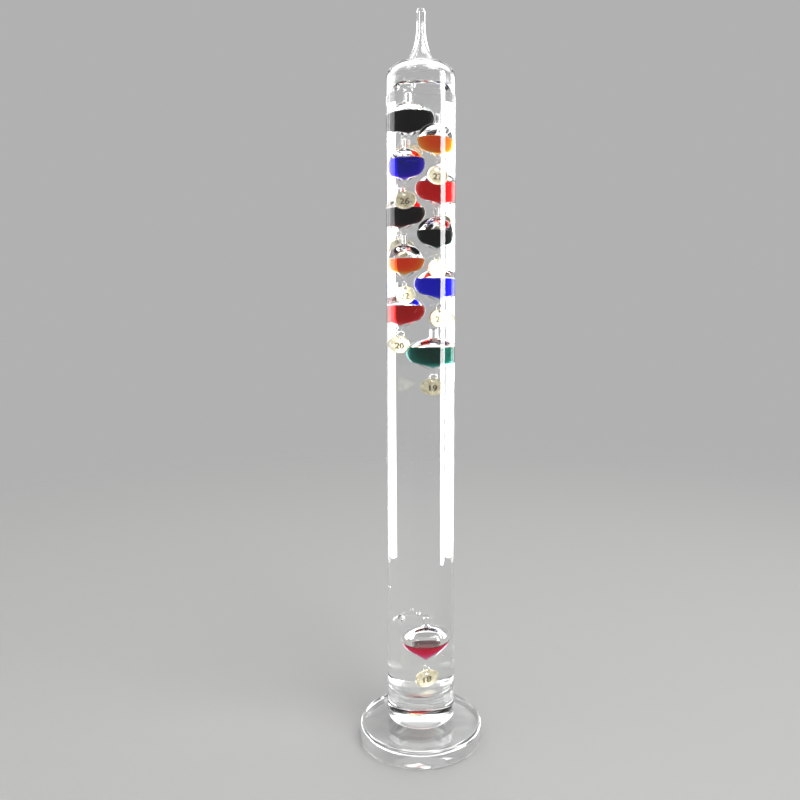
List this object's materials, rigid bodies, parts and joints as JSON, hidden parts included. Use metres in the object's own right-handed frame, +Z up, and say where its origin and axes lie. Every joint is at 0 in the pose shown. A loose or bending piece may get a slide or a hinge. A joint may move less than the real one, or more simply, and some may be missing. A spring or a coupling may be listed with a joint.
{
  "type": "galileo thermometer",
  "caption": "Liquid-filled glass column with a drawn tip on a round glass base, holding sealed dyed floats that rise and sink, each with a tag on a ring.",
  "frame": {"origin": "centre of the base's flat resting face, under the column's axis", "axes": "+Z up along the column's axis, -Y towards the viewer's side, where the tags face"},
  "size_m": [0.084, 0.084, 0.4925],
  "materials": {
    "clear_glass": "clear, polished, fire-finished at the joins",
    "clear_liquid": "clear colourless liquid",
    "tag_metal": "pale gold-plated disc, fine brushed face, stamped numeral",
    "ring_wire": "bright wire",
    "dye_charcoal": "dyed liquid",
    "dye_orange": "dyed liquid",
    "dye_violet_blue": "dyed liquid",
    "dye_red": "dyed liquid",
    "dye_brown": "dyed liquid",
    "dye_black_green": "dyed liquid",
    "dye_amber": "dyed liquid",
    "dye_blue": "dyed liquid",
    "dye_crimson": "dyed liquid",
    "dye_teal": "dyed liquid",
    "dye_magenta": "dyed liquid"
  },
  "bodies": {
    "root": {"glass_base": "clear_glass", "glass_column": "clear_glass", "column_seal": "clear_glass", "column_liquid": "clear_liquid"},
    "float_01": {"float_01_bulb": "clear_glass", "float_01_seal": "clear_glass", "float_01_dye": "dye_charcoal"},
    "tag_01": {"float_01_ring": "ring_wire", "float_01_tag": "tag_metal"},
    "float_02": {"float_02_bulb": "clear_glass", "float_02_seal": "clear_glass", "float_02_dye": "dye_orange"},
    "tag_02": {"float_02_ring": "ring_wire", "float_02_tag": "tag_metal"},
    "float_03": {"float_03_bulb": "clear_glass", "float_03_seal": "clear_glass", "float_03_dye": "dye_violet_blue"},
    "tag_03": {"float_03_ring": "ring_wire", "float_03_tag": "tag_metal"},
    "float_04": {"float_04_bulb": "clear_glass", "float_04_seal": "clear_glass", "float_04_dye": "dye_red"},
    "tag_04": {"float_04_ring": "ring_wire", "float_04_tag": "tag_metal"},
    "float_05": {"float_05_bulb": "clear_glass", "float_05_seal": "clear_glass", "float_05_dye": "dye_brown"},
    "tag_05": {"float_05_ring": "ring_wire", "float_05_tag": "tag_metal"},
    "float_06": {"float_06_bulb": "clear_glass", "float_06_seal": "clear_glass", "float_06_dye": "dye_black_green"},
    "tag_06": {"float_06_ring": "ring_wire", "float_06_tag": "tag_metal"},
    "float_07": {"float_07_bulb": "clear_glass", "float_07_seal": "clear_glass", "float_07_dye": "dye_amber"},
    "tag_07": {"float_07_ring": "ring_wire", "float_07_tag": "tag_metal"},
    "float_08": {"float_08_bulb": "clear_glass", "float_08_seal": "clear_glass", "float_08_dye": "dye_blue"},
    "tag_08": {"float_08_ring": "ring_wire", "float_08_tag": "tag_metal"},
    "float_09": {"float_09_bulb": "clear_glass", "float_09_seal": "clear_glass", "float_09_dye": "dye_crimson"},
    "tag_09": {"float_09_ring": "ring_wire", "float_09_tag": "tag_metal"},
    "float_10": {"float_10_bulb": "clear_glass", "float_10_seal": "clear_glass", "float_10_dye": "dye_teal"},
    "tag_10": {"float_10_ring": "ring_wire", "float_10_tag": "tag_metal"},
    "float_11": {"float_11_bulb": "clear_glass", "float_11_seal": "clear_glass", "float_11_dye": "dye_magenta"},
    "tag_11": {"float_11_ring": "ring_wire", "float_11_tag": "tag_metal"}
  },
  "joints": [
    {"name": "float_01_travel", "type": "slide", "parent": "root", "child": "float_01", "axis": [0, 0, 1], "range_m": [-0.0015, 0.001]},
    {"name": "tag_01_swing", "type": "hinge", "parent": "float_01", "child": "tag_01", "pos_m": [-0.005, 0.005, 0.4068], "axis": [0.309, 0.9511, 0], "range_deg": [-7, 7]},
    {"name": "float_02_travel", "type": "slide", "parent": "root", "child": "float_02", "axis": [0, 0, 1], "range_m": [-0.0015, 0.0015]},
    {"name": "tag_02_swing", "type": "hinge", "parent": "float_02", "child": "tag_02", "pos_m": [0.0084, -0.0057, 0.3914], "axis": [-0.4067, 0.9135, 0], "range_deg": [-7, 7]},
    {"name": "float_03_travel", "type": "slide", "parent": "root", "child": "float_03", "axis": [0, 0, 1], "range_m": [-0.0015, 0.0015]},
    {"name": "tag_03_swing", "type": "hinge", "parent": "float_03", "child": "tag_03", "pos_m": [-0.0082, -0.006, 0.3757], "axis": [0.1736, 0.9848, 0], "range_deg": [-7, 7]},
    {"name": "float_04_travel", "type": "slide", "parent": "root", "child": "float_04", "axis": [0, 0, 1], "range_m": [-0.0015, 0.0015]},
    {"name": "tag_04_swing", "type": "hinge", "parent": "float_04", "child": "tag_04", "pos_m": [0.008, 0.0063, 0.3614], "axis": [0.4067, 0.9135, 0], "range_deg": [-7, 7]},
    {"name": "float_05_travel", "type": "slide", "parent": "root", "child": "float_05", "axis": [0, 0, 1], "range_m": [-0.0015, 0.0015]},
    {"name": "tag_05_swing", "type": "hinge", "parent": "float_05", "child": "tag_05", "pos_m": [-0.0085, 0.0056, 0.3456], "axis": [-0.1392, 0.9903, 0], "range_deg": [-7, 7]},
    {"name": "float_06_travel", "type": "slide", "parent": "root", "child": "float_06", "axis": [0, 0, 1], "range_m": [-0.0015, 0.0015]},
    {"name": "tag_06_swing", "type": "hinge", "parent": "float_06", "child": "tag_06", "pos_m": [0.0082, -0.006, 0.3315], "axis": [-0.6691, 0.7431, 0], "range_deg": [-7, 7]},
    {"name": "float_07_travel", "type": "slide", "parent": "root", "child": "float_07", "axis": [0, 0, 1], "range_m": [-0.0015, 0.0015]},
    {"name": "tag_07_swing", "type": "hinge", "parent": "float_07", "child": "tag_07", "pos_m": [-0.0084, -0.0058, 0.314], "axis": [-0.342, 0.9397, 0], "range_deg": [-7, 7]},
    {"name": "float_08_travel", "type": "slide", "parent": "root", "child": "float_08", "axis": [0, 0, 1], "range_m": [-0.0015, 0.0015]},
    {"name": "tag_08_swing", "type": "hinge", "parent": "float_08", "child": "tag_08", "pos_m": [0.0076, 0.0066, 0.2987], "axis": [-0.809, 0.5878, 0], "range_deg": [-7, 7]},
    {"name": "float_09_travel", "type": "slide", "parent": "root", "child": "float_09", "axis": [0, 0, 1], "range_m": [-0.0015, 0.0015]},
    {"name": "tag_09_swing", "type": "hinge", "parent": "float_09", "child": "tag_09", "pos_m": [-0.0085, 0.0056, 0.281], "axis": [0.866, 0.5, 0], "range_deg": [-7, 7]},
    {"name": "float_10_travel", "type": "slide", "parent": "root", "child": "float_10", "axis": [0, 0, 1], "range_m": [-0.156, 0], "deforming": ["column_liquid"]},
    {"name": "tag_10_swing", "type": "hinge", "parent": "float_10", "child": "tag_10", "pos_m": [0.0048, 0.0086, 0.2523], "axis": [0.6157, 0.788, 0], "range_deg": [-7, 7]},
    {"name": "float_11_travel", "type": "slide", "parent": "root", "child": "float_11", "axis": [0, 0, 1], "range_m": [0, 0.156]},
    {"name": "tag_11_swing", "type": "hinge", "parent": "float_11", "child": "tag_11", "pos_m": [0.0022, 0.0024, 0.0519], "axis": [-0.6691, 0.7431, 0], "range_deg": [-7, 7]}
  ]
}
